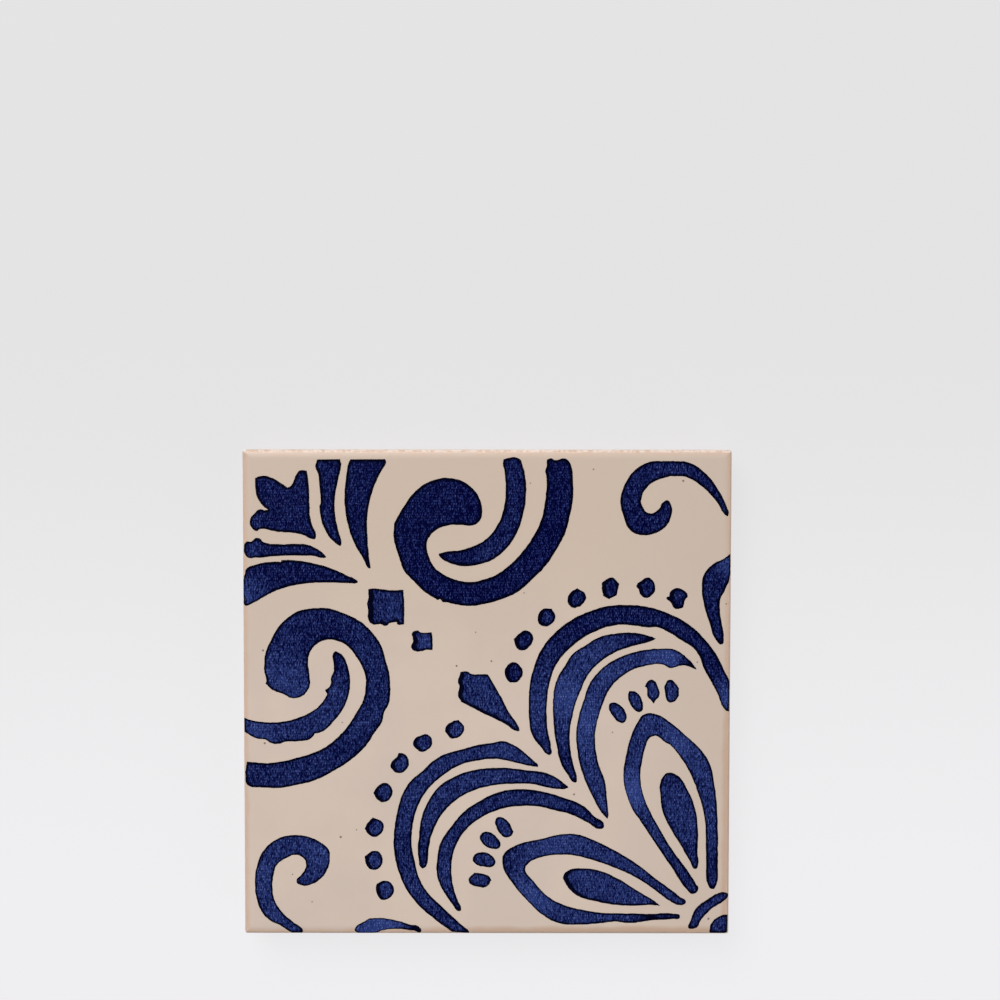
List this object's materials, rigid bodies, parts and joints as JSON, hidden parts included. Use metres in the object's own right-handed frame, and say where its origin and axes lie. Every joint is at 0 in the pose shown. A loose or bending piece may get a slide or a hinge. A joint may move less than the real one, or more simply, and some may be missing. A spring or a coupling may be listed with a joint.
{
  "type": "azulejo tile",
  "caption": "Square glazed earthenware wall tile with a cobalt blue scroll and quarter-rosette pattern on cream, rounded face edges and a keyed back for adhesive.",
  "frame": {"origin": "centre of the back plane, which the tile lies on", "axes": "+Z out of the glazed face, +Y towards the edge that is uppermost on a wall, +X to the right when facing the tile"},
  "size_m": [0.14, 0.14, 0.014],
  "materials": {
    "cream_glaze": "satin cream glaze over a pinkish buff earthenware body",
    "cobalt_paint": "cobalt blue pigment fired into the glaze, grainy, darker where it pooled at the edges"
  },
  "bodies": {
    "root": {"azulejo_tile": "cream_glaze"}
  },
  "joints": []
}
